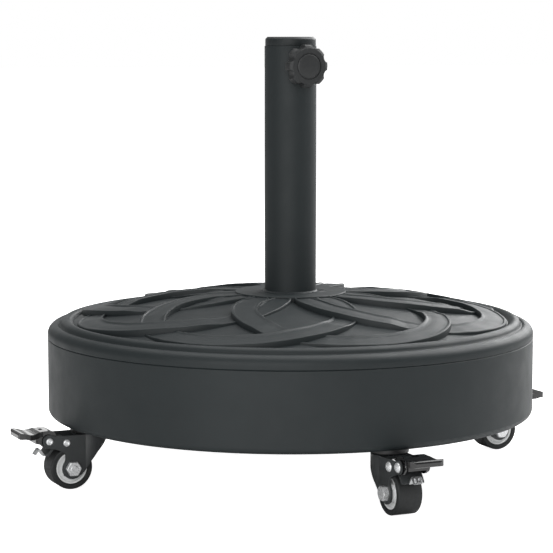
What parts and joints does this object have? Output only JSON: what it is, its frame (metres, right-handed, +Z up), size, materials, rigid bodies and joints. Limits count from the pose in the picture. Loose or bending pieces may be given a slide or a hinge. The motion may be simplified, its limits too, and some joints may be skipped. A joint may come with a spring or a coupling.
{
  "type": "wheeled parasol base",
  "caption": "Round domed weighted base with interlaced ring relief, a short post with clamp knob and reducer collar, on braked swivel castors with pedals.",
  "frame": {"origin": "on the floor under the post axis, at the bottom centre of the bounding box", "axes": "+Z up along the post, -Y towards the clamp knob and one castor, +X towards another castor"},
  "size_m": [0.586, 0.586, 0.4365],
  "materials": {
    "shell_paint": "satin anthracite powder coat",
    "post_paint": "satin anthracite powder coat",
    "concrete": "rough cast",
    "bright_zinc": "bright zinc plate",
    "race_steel": "dark pressed steel",
    "insert_steel": "plain zinc",
    "ball_steel": "polished",
    "reducer_plastic": "satin",
    "knob_plastic": "fine matt",
    "cap_plastic": "satin",
    "pad_plastic": "plain nylon",
    "fork_coat": "dark grey powder coat",
    "hub_plastic": "satin moulded",
    "tyre_rubber": "matt",
    "bush_plastic": "plain nylon",
    "pedal_enamel": "gloss black",
    "tab_steel": "zinc plate"
  },
  "bodies": {
    "base": {"bottom_shell": "shell_paint", "top_cover": "shell_paint", "concrete_ballast": "concrete", "post_tube": "post_paint", "post_flange": "post_paint", "post_end_plate": "bright_zinc", "centre_washer": "bright_zinc", "centre_bolt": "bright_zinc", "clamp_boss": "post_paint", "race_discs": "race_steel", "castor_studs": "bright_zinc", "stud_inserts": "insert_steel", "swivel_balls": "ball_steel"},
    "reducer": {"reducer_collar": "reducer_plastic"},
    "pad": {"thrust_pad": "pad_plastic"},
    "knob": {"knob": "knob_plastic", "knob_cap": "cap_plastic", "clamp_screw": "bright_zinc"},
    "castor_front": {"fork_front": "fork_coat", "axle_bolt_front": "bright_zinc", "axle_nut_front": "bright_zinc", "brake_rivets_front": "bright_zinc"},
    "wheel_front": {"wheel_hub_front": "hub_plastic", "tyre_front": "tyre_rubber", "wheel_bush_front": "bush_plastic"},
    "pedal_front": {"brake_pedal_front": "pedal_enamel"},
    "shoe_front": {"brake_shoe_front": "fork_coat", "brake_tab_front": "tab_steel"},
    "castor_right": {"fork_right": "fork_coat", "axle_bolt_right": "bright_zinc", "axle_nut_right": "bright_zinc", "brake_rivets_right": "bright_zinc"},
    "wheel_right": {"wheel_hub_right": "hub_plastic", "tyre_right": "tyre_rubber", "wheel_bush_right": "bush_plastic"},
    "pedal_right": {"brake_pedal_right": "pedal_enamel"},
    "shoe_right": {"brake_shoe_right": "fork_coat", "brake_tab_right": "tab_steel"},
    "castor_back": {"fork_back": "fork_coat", "axle_bolt_back": "bright_zinc", "axle_nut_back": "bright_zinc", "brake_rivets_back": "bright_zinc"},
    "wheel_back": {"wheel_hub_back": "hub_plastic", "tyre_back": "tyre_rubber", "wheel_bush_back": "bush_plastic"},
    "pedal_back": {"brake_pedal_back": "pedal_enamel"},
    "shoe_back": {"brake_shoe_back": "fork_coat", "brake_tab_back": "tab_steel"},
    "castor_left": {"fork_left": "fork_coat", "axle_bolt_left": "bright_zinc", "axle_nut_left": "bright_zinc", "brake_rivets_left": "bright_zinc"},
    "wheel_left": {"wheel_hub_left": "hub_plastic", "tyre_left": "tyre_rubber", "wheel_bush_left": "bush_plastic"},
    "pedal_left": {"brake_pedal_left": "pedal_enamel"},
    "shoe_left": {"brake_shoe_left": "fork_coat", "brake_tab_left": "tab_steel"}
  },
  "joints": [
    {"name": "reducer_lift", "type": "slide", "parent": "base", "child": "reducer", "axis": [0, 0, 1], "range_m": [0, 0.06]},
    {"name": "pad_feed", "type": "slide", "parent": "base", "child": "pad", "axis": [0, 1, 0], "range_m": [-0.00301, 0.00451]},
    {"name": "knob_turn", "type": "hinge", "parent": "pad", "child": "knob", "pos_m": [0, -0.031, 0.4075], "axis": [0, 1, 0], "range_deg": [-864, 1296]},
    {"name": "swivel_front", "type": "hinge", "parent": "base", "child": "castor_front", "pos_m": [0, -0.217, 0.054], "axis": [0, 0, 1], "continuous": true},
    {"name": "wheel_spin_front", "type": "hinge", "parent": "castor_front", "child": "wheel_front", "pos_m": [0, -0.239, 0.021], "axis": [1, 0, 0], "continuous": true},
    {"name": "pedal_press_front", "type": "hinge", "parent": "castor_front", "child": "pedal_front", "pos_m": [0, -0.2623, 0.049], "axis": [1, 0, 0], "range_deg": [0, 20]},
    {"name": "shoe_press_front", "type": "hinge", "parent": "castor_front", "child": "shoe_front", "pos_m": [0, -0.245, 0.0465], "axis": [1, 0, 0], "range_deg": [-0.01, 13.01]},
    {"name": "swivel_right", "type": "hinge", "parent": "base", "child": "castor_right", "pos_m": [0.217, 0, 0.054], "axis": [0, 0, 1], "continuous": true},
    {"name": "wheel_spin_right", "type": "hinge", "parent": "castor_right", "child": "wheel_right", "pos_m": [0.239, 0, 0.021], "axis": [0, 1, 0], "continuous": true},
    {"name": "pedal_press_right", "type": "hinge", "parent": "castor_right", "child": "pedal_right", "pos_m": [0.2623, 0, 0.049], "axis": [0, 1, 0], "range_deg": [0, 20]},
    {"name": "shoe_press_right", "type": "hinge", "parent": "castor_right", "child": "shoe_right", "pos_m": [0.245, 0, 0.0465], "axis": [0, 1, 0], "range_deg": [-0.01, 13.01]},
    {"name": "swivel_back", "type": "hinge", "parent": "base", "child": "castor_back", "pos_m": [0, 0.217, 0.054], "axis": [0, 0, 1], "continuous": true},
    {"name": "wheel_spin_back", "type": "hinge", "parent": "castor_back", "child": "wheel_back", "pos_m": [0, 0.239, 0.021], "axis": [-1, 0, 0], "continuous": true},
    {"name": "pedal_press_back", "type": "hinge", "parent": "castor_back", "child": "pedal_back", "pos_m": [0, 0.2623, 0.049], "axis": [-1, 0, 0], "range_deg": [0, 20]},
    {"name": "shoe_press_back", "type": "hinge", "parent": "castor_back", "child": "shoe_back", "pos_m": [0, 0.245, 0.0465], "axis": [-1, 0, 0], "range_deg": [-0.01, 13.01]},
    {"name": "swivel_left", "type": "hinge", "parent": "base", "child": "castor_left", "pos_m": [-0.217, 0, 0.054], "axis": [0, 0, 1], "continuous": true},
    {"name": "wheel_spin_left", "type": "hinge", "parent": "castor_left", "child": "wheel_left", "pos_m": [-0.239, 0, 0.021], "axis": [0, -1, 0], "continuous": true},
    {"name": "pedal_press_left", "type": "hinge", "parent": "castor_left", "child": "pedal_left", "pos_m": [-0.2623, 0, 0.049], "axis": [0, -1, 0], "range_deg": [0, 20]},
    {"name": "shoe_press_left", "type": "hinge", "parent": "castor_left", "child": "shoe_left", "pos_m": [-0.245, 0, 0.0465], "axis": [0, -1, 0], "range_deg": [-0.01, 13.01]}
  ],
  "couplings": [
    {"joint": "pad_feed", "follows": "knob_turn", "m_per_rad": 0.00019894},
    {"joint": "shoe_press_front", "follows": "pedal_press_front", "ratio": 0.65},
    {"joint": "shoe_press_right", "follows": "pedal_press_right", "ratio": 0.65},
    {"joint": "shoe_press_back", "follows": "pedal_press_back", "ratio": 0.65},
    {"joint": "shoe_press_left", "follows": "pedal_press_left", "ratio": 0.65}
  ]
}
